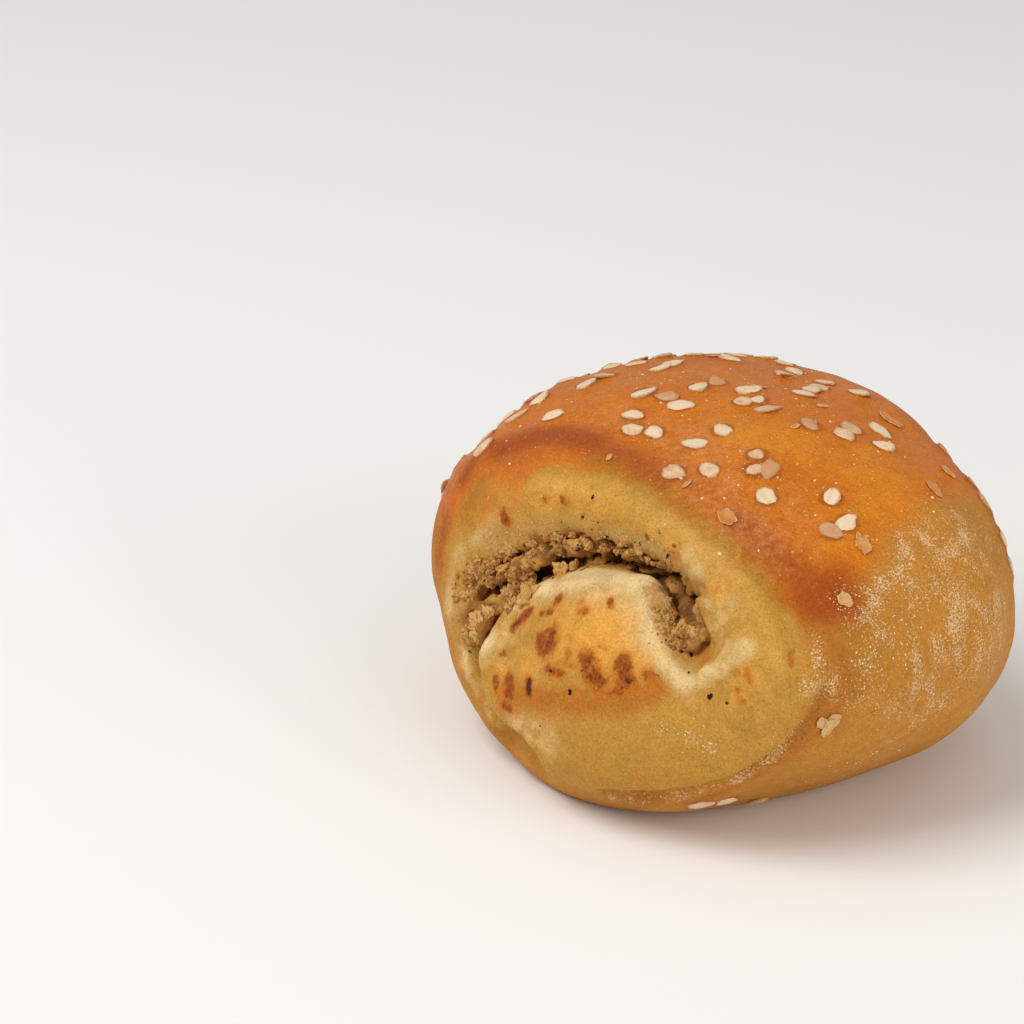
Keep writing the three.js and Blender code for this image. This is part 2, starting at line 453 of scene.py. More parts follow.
# sculpting: creases, ridges and lumps, each as far out along the surface as its height says, then
# the dough's own unevenness, which is strongest on the slope above the gap
normals = normals_of(dough)
lift = np.zeros(len(places))
CREST = (
    (500, 488), (545, 486), (586, 492), (634, 509), (680, 533), (722, 564), (750, 594), (766, 622),
    (776, 662),
)
UNDER_RIM = (
    (500, 453), (560, 449), (620, 473), (670, 503), (710, 533), (750, 568), (785, 605), (806, 640),
)
TAIL_CREASE = (
    (475, 642), (471, 660), (474, 678), (480, 697), (490, 714), (501, 729), (512, 743), (520, 754),
)
LOBE_EDGE = ((489, 645), (486, 662), (488, 679), (494, 694), (504, 709), (516, 723), (528, 738))
LEFT_FOOT = ((436, 605), (442, 635), (450, 665), (466, 700))
FOLD_LEFT = ((652, 644), (662, 660), (675, 673), (688, 683))
FOLD_RIGHT = ((688, 685), (704, 676), (723, 663), (746, 647))
LOWER_RIM = ((822, 690), (800, 727), (771, 757), (737, 777), (690, 790), (640, 796), (600, 795))
ABOVE_LOWER_RIM = ((818, 672), (812, 700), (795, 724), (768, 750), (730, 770), (685, 783))
POCKET_EDGE = ((646, 567), (661, 578), (675, 591), (685, 605), (695, 620))
SCULPTED = (  # height, half its width, and the pixels of a crease, a ridge or a lump
    (0.7, 2, *CREST), (-0.45, 2, *UNDER_RIM), (-0.9, 3, *LEFT_FOOT), (-1.8, 0.9, *TAIL_CREASE),
    (0.7, 1.6, *LOBE_EDGE), (0.6, 1.2, *FOLD_LEFT), (0.9, 1.4, *FOLD_RIGHT),
    (-0.5, 1.4, (689, 668), (697, 654), (716, 641)),
    (-2.6, 2.3, (504, 744), (517, 755), (529, 768)), (-0.5, 0.6, (789, 651), (792, 664)),
    (-0.35, 0.5, (609, 580), (609, 597)), (-1.2, 0.8, *LOWER_RIM), (-1.6, 1, *POCKET_EDGE),
    (0.6, 1.2, *ABOVE_LOWER_RIM),
    (1.2, 3, (648, 588)), (1.2, 1.1, (697, 574)), (1.1, 1.1, (717, 589)), (1, 1, (705, 604)),
    (0.7, 0.9, (690, 563)), (-0.7, 0.8, (704, 590)), (0.5, 1.2, (725, 606)),
    (0.5, 1.3, (668, 549)), (0.4, 1.5, (650, 528)), (0.5, 5, (585, 605)), (-2, 2.4, (524, 756)),
    (-0.8, 5, (902, 758)),
)
for height, spread, *pixels in SCULPTED:
    lift += height * bump(gap_from(pixels), 0, spread)
on_face = (1 - crust) * (1 - in_gap)
slope = on_face * on_wrap * (1 - smooth(4, 8, wall))
lift += 0.3 * noise_at(places, 14) + 0.1 * noise_at(places, 5)
lift += 0.35 * slope * noise_at(places + 50, 2.6) + 0.12 * on_face * noise_at(places, 2)
# mince clings to the wrap's wall and to the edge of its slope
between_tips = smooth(0.03, 0.14, along) * (1 - smooth(0.93, 1, along))
clinging = 1 - smooth(0.4, 2.6, wall + 1.1 * noise_at(places, 2.4) + 0.5 * noise_at(places, 0.9))
clinging *= smooth(-0.2, 0.3, across) * between_tips
lift += clinging * (0.1 + 0.35 * noise_at(places, 0.8) + 0.2 * noise_at(places, 1.7))
lift *= smooth(0, 3, rest_z)
move_to(dough, places + normals * lift[:, None])
places = places_of(dough)
surface = surface_of(dough)

# what the bake, the egg wash, the flour and the fat of the mince did to each place, and where
# highlight and shade are painted on; the egg wash ends along a line low on the flank
WASH_EDGE = ((838, 612), (862, 575), (890, 535), (925, 505), (965, 492), (1000, 506))
wash = np.array([seen_at(pixel)[0] for pixel in WASH_EDGE]) - shift
wash_order = np.argsort(wash[:, 1])
wash_height = np.interp(rest_y, wash[wash_order, 1], wash[wash_order, 2])
wash_height -= np.where(rest_x < 0, 5, 0)  # it ran lower down the left side


def painted(touches):
    """A mask from touches of a brush, where the strongest one shows."""
    mask = np.zeros(len(places))
    for strength, spread, *pixels in touches:
        mask = np.maximum(mask, strength * bump(gap_from(pixels), 0, spread))
    return mask


TOUCHES = {  # how strong, half its width, and the pixels that the brush goes through
    # the pale, less baked dough of the cut end, with a painted highlight on the tongue's top and on
    # the lumps of the wrap's slope
    "pale_and_highlit": (
        (
            0.95, 2.6, (484, 642), (492, 622), (506, 606), (524, 594), (552, 583), (582, 578),
            (612, 575),
        ),
        (0.45, 2.4, (500, 650), (508, 632)), (0.9, 1.6, (498, 612), (515, 594)),
        (1, 2.6, (612, 575), (640, 580), (651, 596), (653, 622), (652, 642)),
        (0.6, 3.2, (600, 590), (630, 605), (640, 640)), (0.8, 1.7, *FOLD_LEFT),
        (0.55, 1.8, *FOLD_RIGHT), (0.4, 2, (715, 620), (730, 608)), (0.8, 1, (697, 572)),
        (0.7, 0.9, (706, 604)),
        (0.6, 1.6, (487, 524), (463, 545), (451, 572), (448, 605), (452, 640), (463, 675)),
        (0.5, 1.3, (474, 690), (486, 712), (500, 730)),
        (0.4, 2.6, (516, 722), (535, 730), (552, 742)), (0.4, 1.5, (690, 563), (683, 556)),
        (0.7, 1.6, (464, 655), (470, 685), (482, 708)), (0.3, 2, (720, 640), (740, 655)),
    ),
    # a golden bake along the crest and down the right of the wrap, with a painted highlight where
    # the crest faces the light
    "gold_and_highlight": (
        (0.6, 2, *CREST), (0.5, 3, (700, 560), (740, 600), (765, 645), (760, 680)),
        (0.3, 3, (504, 480), (480, 510)),
    ),
    "warm": (
        (0.95, 6, (600, 640)), (0.8, 4.5, (556, 640)), (0.8, 1.4, (718, 591)),
        (0.9, 1.8, (673, 555)), (0.7, 2, (705, 652)), (0.8, 1.2, (745, 674)),
        (0.8, 1.2, (739, 697)), (0.5, 2, (570, 500), (600, 503)), (0.8, 3.5, (635, 662)),
        (0.6, 4, (530, 668)), (0.6, 3, (505, 672)), (0.5, 1.5, (502, 641)), (0.35, 3, (575, 620)),
        (0.6, 3, (545, 503), (600, 503)), (0.35, 2, (625, 510), (650, 527)),
    ),
    "toasted": (
        (0.9, 2.6, (505, 695), (540, 700), (590, 702), (630, 700), (655, 690)),
        (0.6, 2.2, (484, 468), (464, 500), (448, 535)), (0.6, 1.6, (545, 499)),
        (0.9, 1.3, (566, 502)), (0.5, 1.1, (593, 500)), (1, 0.8, (505, 513), (509, 521)),
        (1, 1.4, (673, 556)), (0.5, 1.1, (715, 590)), (0.9, 1.5, (700, 652), (706, 660)),
        (0.7, 1.1, (747, 675)), (0.6, 1.1, (740, 699)), (0.8, 0.5, (583, 517)),
        (0.5, 0.8, (689, 696)), (0.9, 0.5, (562, 497)),
        (0.9, 1.1, (468, 702), (482, 721), (497, 733), (515, 745)),
        (0.4, 3, (560, 768), (620, 780), (680, 774)), (1, 0.6, (791, 652), (791, 664)),
    ),
    "scorched": (
        (1, 1.9, (551, 636), (547, 647)), (1, 1.3, (540, 638), (541, 648)),
        (1, 0.95, (513, 628), (521, 619), (530, 611)), (0.85, 0.7, (541, 614), (552, 611)),
        (1, 1.1, (558, 600)), (0.85, 0.7, (581, 612), (587, 611)),
        (0.9, 0.7, (610, 600), (611, 606)), (0.55, 0.7, (581, 602)),
        (1, 1.35, (509, 680), (509, 693)), (0.8, 1, (496, 678), (496, 688)),
        (0.85, 0.8, (504, 704), (511, 711)), (1, 0.95, (529, 681), (529, 694)),
        (0.85, 0.9, (546, 669), (562, 675)), (0.95, 1.8, (586, 660), (590, 672), (597, 681)),
        (0.8, 1, (585, 679), (596, 682)), (0.75, 0.6, (567, 650), (568, 658)),
        (1, 1.7, (624, 665), (625, 682)), (0.8, 1, (633, 680)), (0.7, 1.1, (645, 673), (656, 679)),
        (0.65, 0.6, (600, 694), (615, 692), (632, 691)), (0.65, 0.8, (508, 651), (499, 655)),
        (0.5, 0.8, (556, 663), (575, 665)), (0.6, 0.5, (600, 645), (607, 650)),
        (0.5, 0.5, (568, 635), (572, 640)), (0.7, 0.5, (545, 502), (543, 499)),
        (0.9, 0.5, (562, 498), (564, 503)), (1, 0.8, (503, 512), (508, 522)),
        (0.9, 0.4, (583, 516), (583, 519)), (0.55, 0.8, (735, 672), (748, 680)),
        (0.6, 0.8, (738, 692), (741, 700)),
    ),
    "speckled": (
        (0.4, 6, (520, 620), (620, 610)), (0.6, 4, (500, 660), (520, 700)),
        (0.65, 4, (560, 660), (640, 680)), (0.45, 4, (520, 640), (570, 640)),
        (0.35, 4, (600, 630), (640, 650)), (0.45, 2.5, (735, 675), (745, 700)),
        (0.45, 4, (560, 505), (620, 510)), (0.35, 2.5, (690, 580), (725, 600)),
        (0.4, 1.5, (470, 650), (470, 690)),
    ),
    "charred": (
        (1, 0.75, (529, 682), (529, 693)), (0.8, 0.6, (627, 678), (629, 683)),
        (0.7, 0.7, (592, 679)), (0.7, 0.5, (508, 681)), (0.6, 0.5, (557, 634), (555, 648)),
        (0.5, 0.5, (545, 655)), (0.6, 0.3, (559, 600)),
    ),
    # fat from the mince, partly painted shade, on the slope above the gap; painted shade along the
    # tongue's top edge under the wrap and in the valley below the pocket
    "stain_and_shade": (
        (0.7, 2.2, (495, 545), (515, 530), (545, 524), (580, 524), (610, 532)),
        (0.35, 2.5, (650, 510), (700, 560), (735, 600)), (0.5, 2, (475, 545), (500, 525)),
        (0.65, 1.2, (560, 580), (612, 577)), (0.5, 1.4, (688, 668), (700, 652), (716, 641)),
    ),
    "browned": (
        (1, 4.5, (820, 598), (834, 596)),
        (0.9, 2.6, (500, 448), (530, 438), (563, 434), (594, 442)),
        (0.7, 2.4, (594, 442), (630, 457), (665, 480)), (0.35, 2.4, (665, 480), (739, 523)),
        (0.75, 3, (739, 523), (768, 548), (795, 574), (814, 606)),
        (0.8, 2, (464, 476), (478, 455)), (0.6, 2, (446, 520), (438, 560), (434, 600)),
        (0.3, 6, (697, 500), (740, 530)), (0.8, 1.5, (1004, 545)),
        (0.45, 1.6, (830, 700), (790, 755), (720, 793), (640, 802), (580, 800)),
    ),
    # a pale film of dried egg wash, with a painted sheen on the crust top where the light glances
    # off it
    "film_and_sheen": (
        (0.75, 7, (690, 440), (720, 500), (760, 540)), (0.5, 6, (650, 420), (600, 420)),
        (0.6, 5, (790, 500), (800, 540)), (0.5, 4, (600, 395), (660, 375), (720, 372)),
    ),
    "amber": (
        (0.7, 7, (745, 425), (800, 440), (870, 470)), (0.7, 6, (880, 500), (850, 540)),
        (0.5, 5, (700, 395), (740, 410)), (0.3, 5, (640, 400), (600, 410)),
    ),
    "flour": (
        (0.66, 6, (940, 555), (960, 600), (955, 660), (930, 700)),
        (0.6, 4.5, (985, 570), (1000, 620), (985, 670)),
        (0.75, 1.2, (903, 545), (912, 600), (914, 650), (925, 690)),
        (0.75, 1.7, (885, 585), (912, 560)), (0.4, 1.5, (840, 600), (860, 590)),
        (0.5, 2.2, (858, 625), (880, 600)), (0.5, 4, (870, 610), (895, 640)),
        (0.6, 2, (815, 690), (826, 680), (838, 695)), (0.5, 2.2, (865, 665), (872, 650)),
        (0.55, 2.6, (850, 700), (880, 690), (895, 705)), (0.5, 0.9, (817, 640), (816, 670)),
        (0.62, 0.9, (800, 722), (769, 759), (740, 779), (685, 797), (610, 799)),
        (0.45, 1.7, (905, 745), (860, 768), (800, 792)), (0.5, 3, (950, 520), (985, 545)),
        (0.3, 1.6, (658, 730), (700, 740), (716, 752)),
    ),
    # a darker olive tan under the crust's edge, on the left shoulder and on the flank: partly the
    # bake and partly painted shade in the groove under the rim
    "tan_and_shade": (
        (0.9, 2.2, (480, 488), (468, 510)),
        (0.85, 1.5, (590, 459), (630, 473), (665, 492), (700, 520)),
        (0.8, 1.8, (700, 522), (740, 552), (765, 578), (782, 603)),
        (0.5, 1.6, (751, 589), (770, 610), (782, 628)),
        (0.45, 2, (560, 508), (600, 510), (640, 520)), (0.5, 5, (850, 630), (870, 655)),
        (0.35, 4, (575, 745), (620, 742)),
    ),
    "mincy": (
        (0.85, 1.5, (652, 590), (660, 612), (668, 634), (684, 648)),
        (1, 1, (646, 568), (662, 580), (676, 592), (686, 606), (696, 622)),
    ),
    # painted shade: a dark line along the groove where the tongue meets the wrap
    "groove_shade": (
        (1, 0.9, (640, 566), (661, 578), (676, 592), (686, 606), (697, 622)),
        (0.7, 1.2, (664, 590), (676, 606)),
    ),
}
marks = {name: painted(touches) for name, touches in TOUCHES.items()}
marks["pale_and_highlit"] *= on_face
# fat from the mince soaked in by the gap, and brown clouds and flour lie on the sides out of view
by_mince = between_tips * (1 - smooth(1, 4, wall + 4 * (1 - on_wrap)))
marks["stain_and_shade"] = np.maximum(marks["stain_and_shade"], by_mince)
gap_lining = in_gap * (on_wrap | (along < 0.5))
marks["mincy"] = np.maximum.reduce((marks["mincy"], clinging, gap_lining))
marks["crust"] = crust
marks["washed"] = crust * smooth(-2.5, 2.5, rest_z - wash_height)
unseen = smooth(-4, 10, -places @ np.array(back))  # 1 on the side turned away from the camera
rim = 0.45 * bump(behind_rim, 2.4, 2.2) * (rest_z > WAIST - 6)
clouds = unseen * (0.3 + 0.35 * noise_at(places, 9))
marks["browned"] = np.maximum.reduce((marks["browned"], rim, clouds)) * smooth(0.2, 0.8, crust)
clouds = unseen * (0.4 + 0.4 * noise_at(places + 30, 11))
marks["amber"] = np.maximum(marks["amber"], clouds)
dusting = 0.6 * unseen * crust * bump(rest_z, 13, 9)
streaks = noise_at(places * (1, 1, 0.3), 1.5) + 0.6 * noise_at(places, 3)
marks["flour"] = np.maximum(marks["flour"], dusting)
marks["flour"] += 0.3 * streaks * smooth(0.05, 0.35, marks["flour"])
# the far cut end baked much like this one, and takes its painted highlights and shade as well: each
# place there takes after its twin at the front
front = np.flatnonzero(at_front & (crust < 0.9))
far = np.flatnonzero(~at_front & (crust < 0.9))
nearest = KDTree(len(front))
for k, i in enumerate(front):
    nearest.insert((rest_x[i], rest_z[i], -flat_y[i]), k)
nearest.balance()
stray = 1.5 * noise_at(places[far], 6)
spots = zip(rest_x[far] + stray, rest_z[far] - stray, flat_y[far])
twins = front[[nearest.find(spot)[1] for spot in spots]]
for name in ("pale_and_highlit", "gold_and_highlight", "warm", "toasted", "stain_and_shade", "speckled", "scorched", "charred"):
    marks[name][far] = marks[name][twins] * (1 - crust[far])
for name, values in marks.items():
    paint(dough, name, values)


def linear(code):
    """An sRGB colour such as #d08a3c, as the linear values that a shader takes."""
    channels = [int(code[i:i + 2], 16) / 255 for i in (1, 3, 5)]
    return [c / 12.92 if c <= 0.04045 else ((c + 0.055) / 1.055) ** 2.4 for c in channels] + [1]


def plug(node, sockets):
    """Give sockets of a node a value or another node's output."""
    for name, value in sockets.items():
        if isinstance(value, bpy.types.NodeSocket):
            node.id_data.links.new(value, node.inputs[name])
        else:
            node.inputs[name].default_value = value


def add(tree, kind, sockets=None, **settings):
    """A shader node of a kind, with its settings and links."""
    node = tree.nodes.new("ShaderNode" + kind)
    for name, value in settings.items():
        setattr(node, name, value)
    plug(node, sockets or {})
    return node


def scale_for(size):
    """The texture scale that draws grains, fibres or bubbles of a size in millimetres."""
    return 1 / (size * MM)


def new_material(name):
    """A material with its shader, joined to the output."""
    material = bpy.data.materials.new(name)
    material.use_nodes = True
    tree = material.node_tree
    tree.nodes.clear()
    shader = add(tree, "BsdfPrincipled")
    add(tree, "OutputMaterial", {"Surface": shader.outputs[0]})
    return material, tree, shader


def layered(tree, base, finishes):
    """A colour with finishes laid over it in turn. Each has its mask, which is a painted one or a
    texture, the texture that breaks the mask up and how much, the values at which the finish
    begins and is whole, how much it covers there, and its colour."""
    colour = linear(base)
    for mask, texture, breakup, begins, whole, cover, code in finishes:
        if isinstance(mask, str):
            mask = add(tree, "Attribute", attribute_name=mask).outputs["Fac"]
        terms = {0: texture, 1: breakup, 2: -breakup / 2}
        uneven = add(tree, "Math", terms, operation="MULTIPLY_ADD").outputs[0]
        value = add(tree, "Math", {0: mask, 1: uneven}).outputs[0]
        limits = {"Value": value, "From Min": begins, "From Max": whole, "To Max": cover}
        covered = add(tree, "MapRange", limits, interpolation_type="SMOOTHSTEP").outputs[0]
        colours = {0: covered, 6: colour, 7: linear(code)}
        colour = add(tree, "Mix", colours, data_type="RGBA").outputs[2]
    return colour


# Baked yeast dough. The skin is matt and faintly pebbled. The egg wash dried to a satin film with
# a fine wrinkle, and flour lies on the flank as pale grains. A sheen on the crust, highlights on the
# cut end and shade in its hollows are painted into the colour as well.
material, tree, shader = new_material("baked_yeast_dough")
place = add(tree, "TexCoord").outputs["Object"]
mottle, patch, fleck, grain, dust = [
    add(tree, "TexNoise", {"Vector": place, "Scale": scale_for(size), "Detail": 3}).outputs["Fac"]
    for size in (7, 1.8, 0.9, 0.5, 0.24)
]
bubbles = add(tree, "TexVoronoi", {"Vector": place, "Scale": scale_for(1.2)}).outputs["Distance"]
colour = layered(tree, "#c08d3c", (
    # golden bake, partly a painted highlight on the lit crest
    ("gold_and_highlight", patch, 0.4, 0, 1, 1, "#d6a04c"),
    # pale dough, partly a painted highlight on the tongue's top and on the slope's lumps
    ("pale_and_highlit", patch, 0.8, 0.05, 1, 1, "#e8cb92"),
    ("warm", patch, 0.8, 0.1, 1, 0.9, "#e6a246"),
    ("toasted", patch, 1.2, 0.25, 0.95, 0.85, "#b5681f"),
    # greyish fat stain, partly painted shade under the wrap and in the valleys
    ("stain_and_shade", patch, 1, 0.1, 1.1, 0.75, "#b08c56"),
    ("mincy", grain, 1.6, 0.1, 0.9, 0.85, "#b98240"),
    ("mincy", grain, 3, 1.1, 1.7, 0.7, "#6a3c20"),
    # painted shade in the groove by the tongue
    ("groove_shade", fleck, 0.8, 0.2, 0.9, 0.85, "#6b3d1c"),
    ("crust", patch, 0.3, 0.05, 0.95, 1, "#bd8034"),
    ("washed", mottle, 0.4, 0.05, 0.85, 1, "#cb7018"),
    ("amber", mottle, 1.2, 0.3, 1.1, 0.8, "#d88a1c"),
    # olive tan, partly painted shade under the rim
    ("tan_and_shade", patch, 0.5, 0, 1, 0.6, "#9e701c"),
    ("browned", mottle, 0.5, 0, 1, 1, "#a24a18"),
    # pale egg-wash film and painted sheen
    ("film_and_sheen", fleck, 1.6, 0.3, 1.4, 0.45, "#dc9c68"),
    # egg wash pooled round the seeds, and painted contact shade
    ("halo_and_contact_shade", patch, 0.4, 0.3, 1, 0.65, "#944415"),
    ("speckled", grain, 3.6, 1.05, 1.35, 0.75, "#b0601e"),
    ("scorched", patch, 1.4, 0.15, 0.8, 0.85, "#c0701f"),
    ("scorched", fleck, 1.6, 0.45, 0.95, 0.9, "#9a481a"),
    ("scorched", grain, 2.6, 0.75, 1.4, 0.8, "#672811"),
    ("charred", grain, 0.8, 0.5, 0.8, 0.9, "#45211a"),
    ("flour", dust, 3, 0.5, 1.3, 0.75, "#dcbd94"),
    ("washed", bubbles, -5, 2.9, 3.3, 0.6, "#edc48e"),
))
shade = 0.1
for texture, amount in ((dust, 0.85), (grain, 0.4), (patch, 0.35), (mottle, 0.2)):
    terms = {0: texture, 1: amount, 2: shade}
    shade = add(tree, "Math", terms, operation="MULTIPLY_ADD").outputs[0]
colour = add(tree, "VectorMath", {0: colour, 1: shade}, operation="MULTIPLY").outputs[0]
washed = add(tree, "Attribute", attribute_name="washed").outputs["Fac"]
rough = add(tree, "MapRange", {"Value": washed, "To Min": 0.65, "To Max": 0.4}).outputs[0]
relief = {"Height": dust, "Strength": 0.8, "Distance": 0.16 * MM}
skin = add(tree, "Bump", relief).outputs[0]
for texture, height in ((grain, 0.35), (patch, 0.5)):
    relief = {"Height": texture, "Strength": 0.5, "Distance": height * MM, "Normal": skin}
    skin = add(tree, "Bump", relief).outputs[0]
plug(shader, {
    "Base Color": colour, "Roughness": rough, "Normal": skin,
    "IOR": 1.45, "Specular IOR Level": 0.22, "Specular Tint": (1, 0.68, 0.36, 1),
    "Subsurface Weight": 0.1, "Subsurface Radius": (1, 0.45, 0.12), "Subsurface Scale": 1.2 * MM,
})
dough.data.materials.append(material)
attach(dough, "root")
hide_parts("dough")

# ---------------------------------------------------------------------------------------------
# Filling. Minced meat, boiled, ground and seasoned, which was spread on the sheet before it was
# wound up. It runs through the roll, clings to the wrap and shrank away from the tongue.
FILLING_VOXEL = 0.34
FILLING_SPARE = 0.1  # how far it presses into the dough
FILLING_DEPTHS = (0.3, 3, 8, 14)  # from just under a cut end to the middle of the roll
stations = [(-1, depth, FILLING_SPARE, FILLING_SPARE) for depth in FILLING_DEPTHS]
stations += [(1, depth, FILLING_SPARE, FILLING_SPARE) for depth in reversed(FILLING_DEPTHS)]
filling = crescent_bar("minced_meat", stations)
remesh(filling, FILLING_VOXEL)
meat = places_of(filling)
meat_x, _, meat_z = (meat - shift).T
_, meat_across, meat_along = crescent_wall(meat_x, meat_z)


def under_face(places):
    """How deep places in the gap lie under the nearer cut end, and which end that is."""
    x, y, z = (np.array(places) - shift).T
    end = np.sign(y)
    face = end * (HALF_LENGTH + END_CROWN)
    return (face + end_shift(x, face, z, 0) - y) * end, end


# a slit, left when the mince shrank: through its middle at the right, beside the tongue at the top
# and up to the wrap at the left
SLIT_ALONG = (0.07, 0.14, 0.3, 0.39, 0.49, 0.66, 0.72, 0.8, 0.82, 0.84, 0.87, 0.93)
SLIT_AT = (0.4, 0, -0.2, -0.3, -0.6, -0.5, -0.8, -0.3, 0.1, 0.6, 0.9, 0.9)
SLIT_HALF = (0.2, 0.5, 1, 0.7, 0.45, 0.45, 0.4, 0.4, 0.4, 0.4, 0.35, 0.05)
slit_at = np.interp(meat_along, SLIT_ALONG, SLIT_AT)
slit_half = np.interp(meat_along, SLIT_ALONG, SLIT_HALF)
ragged = meat_across + 0.25 * noise_at(meat, 1.6)
slit = bump(ragged, slit_at, slit_half) * smooth(-0.2, 0.1, meat_along)
sink = np.interp(meat_along, (0.5, 0.75), (4, 6.5)) * slit + 0.3 + 0.7 * noise_at(meat + 9, 3)
under, end = under_face(meat)
meat[:, 1] -= end * sink * (1 - smooth(0, 13, under))
move_to(filling, meat)
remesh(filling, FILLING_VOXEL)
meat = places_of(filling)
# clots, ground grains and the fine crumbs on them
rise = 0.25 * noise_at(meat, 2.8) + 0.35 * noise_at(meat, 1.4) + 0.25 * noise_at(meat, 0.6)
move_to(filling, meat + normals_of(filling) * rise[:, None])
# painted shade: darker deep in the gap and in the hollows between the grains
paint(filling, "deep", smooth(1.2, 4.5, under_face(meat)[0]))
paint(filling, "shade_in_hollows", 0.5 - 0.8 * rise)
paint(filling, "clump", 0.5 + 0.4 * noise_at(meat, 2))

# Cooked mince: matt and crumbly, with paler clumps, and painted shade in the hollows between its
# grains and deep in the gap.
material, tree, shader = new_material("cooked_mince")
place = add(tree, "TexCoord").outputs["Object"]
texture = {"Vector": place, "Scale": scale_for(0.4), "Detail": 3}
grain = add(tree, "TexNoise", texture).outputs["Fac"]
colour = layered(tree, "#9c6428", (
    ("clump", grain, 1.2, 0.2, 0.9, 1, "#c69244"),
    # painted shade in the hollows and deep in the gap
    ("shade_in_hollows", grain, 1, 0.4, 1, 0.85, "#6e3d1d"),
    ("deep", grain, 0.6, 0, 1, 0.9, "#5e301a"),
))
relief = {"Height": grain, "Strength": 0.7, "Distance": 0.3 * MM}
pits = add(tree, "Bump", relief).outputs[0]
plug(shader, {
    "Base Color": colour, "Roughness": 0.7, "IOR": 1.45, "Specular IOR Level": 0.3, "Normal": pits,
})
filling.data.materials.append(material)
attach(filling, "root")
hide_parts("meat_filling")

# ---------------------------------------------------------------------------------------------
# Loose mince. Crumbs and clots of the filling, which broke off when the roll was cut and stuck to
# the slope round the gap and to the tongue's edge.
CRUMBS_DOWN_TO = 1.8  # how deep in the gap they stuck
DETAILED_FROM = 0.6  # size from which a crumb has a finer shape
surface = surface_of(dough, filling)


def laid(place, normal, direction, size):
    """The matrix that lays a unit shape on the surface, its length in a direction."""
    side = normal.cross(direction).normalized()
    axes = Matrix((side.cross(normal), side, normal)).transposed().to_4x4()
    return Matrix.Translation(place * MM) @ axes @ Matrix.Diagonal([s * MM for s in size] + [1])


def lump(bm, tone_layer, place, normal, size, tone, dice, detail=1):
    """An uneven crumb, pressed on to the surface by a part of its height."""
    made = bmesh.ops.create_icosphere(bm, subdivisions=detail, radius=0.5)["verts"]
    start = Vector([dice.uniform(0, 99) for _ in range(3)])
    for v in made:
        coarse = noise.noise(v.co * 3 + start)
        fine = noise.noise(v.co * 6 * max(size, 0.5) + start)
        v[tone_layer] = tone + 0.4 * fine
        v.co *= 1 + 0.9 * coarse + (0.3 * fine if detail > 1 else 0)
    direction = Vector([dice.gauss(0, 1) for _ in range(3)])
    shape = [size * dice.uniform(0.75, 1.35) for _ in range(2)] + [size * dice.uniform(0.5, 0.8)]
    matrix = laid(place - normal * size * 0.06, normal, direction, shape)
    bmesh.ops.transform(bm, verts=made, matrix=matrix)


CRUMBS = (  # pixel, how far they spread in pixels across and down, how many, size, paleness
    ((470, 626), (4, 7), 7, 1.7, 1), ((489, 612), (6, 5), 6, 1.4, 0.8),
    ((550, 572), (9, 3), 8, 1.5, 0.5), ((522, 588), (7, 4), 8, 1.9, 0.75),
    ((507, 598), (6, 4), 6, 1.6, 0.7), ((672, 622), (9, 11), 60, 0.35, 0.7),
    ((531, 571), (5, 3), 4, 1.8, 0.75), ((582, 566), (8, 3), 5, 1.3, 0.6),
    ((485, 573), (9, 7), 9, 1.7, 0.6), ((500, 561), (8, 6), 8, 1.6, 0.6),
    ((460, 590), (3, 8), 6, 1, 0.6), ((520, 553), (12, 5), 8, 1.2, 0.5),
    ((565, 541), (16, 4), 10, 0.9, 0.7), ((599, 541), (12, 5), 12, 1, 0.8),
    ((632, 549), (14, 5), 10, 0.9, 0.5), ((660, 566), (10, 6), 7, 0.7, 0.5),
    ((664, 612), (5, 6), 8, 0.8, 0.8), ((672, 630), (6, 6), 8, 0.8, 0.5),
    ((693, 633), (5, 3), 6, 1.2, 0.9), ((682, 644), (5, 4), 7, 0.7, 0.5),
    ((464, 655), (4, 8), 6, 0.6, 0.6), ((485, 578), (16, 12), 45, 0.5, 0.6),
    ((545, 556), (34, 10), 60, 0.45, 0.6), ((610, 545), (28, 7), 50, 0.4, 0.7),
    ((672, 625), (9, 14), 60, 0.45, 0.6), ((512, 530), (14, 7), 12, 0.3, 0.8),
    ((580, 528), (26, 5), 14, 0.3, 0.8),
)
dice = random.Random(7)
bm = bmesh.new()
tone_layer = bm.verts.layers.float.new("tone")
for (px, py), (wide, high), count, size, paleness in CRUMBS:
    for _ in range(count):
        place, normal = seen_at((dice.gauss(px, wide), dice.gauss(py, high)))
        if under_face(place)[0] > CRUMBS_DOWN_TO:
            continue
        own = size * dice.uniform(0.5, 1.25)
        detail = 4 if own > 2 * DETAILED_FROM else 3 if own > DETAILED_FROM else 1
        lump(bm, tone_layer, place, normal, own, mix(dice.random(), paleness, 0.5), dice, detail)
crumbs = new_piece("mince_crumbs", bm)

# Crumbs of cooked mince: as the filling, but drier and paler where they stand free.
material, tree, shader = new_material("mince_crumb")
place = add(tree, "TexCoord").outputs["Object"]
texture = {"Vector": place, "Scale": scale_for(0.35), "Detail": 3}
grain = add(tree, "TexNoise", texture).outputs["Fac"]
colour = layered(tree, "#8c511c", [("tone", grain, 1.2, 0.1, 0.95, 1, "#d6a660")])
relief = {"Height": grain, "Strength": 0.7, "Distance": 0.2 * MM}
pits = add(tree, "Bump", relief).outputs[0]
plug(shader, {
    "Base Color": colour, "Roughness": 0.65, "IOR": 1.45, "Specular IOR Level": 0.15, "Normal": pits,
})
crumbs.data.materials.append(material)
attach(crumbs, "root")

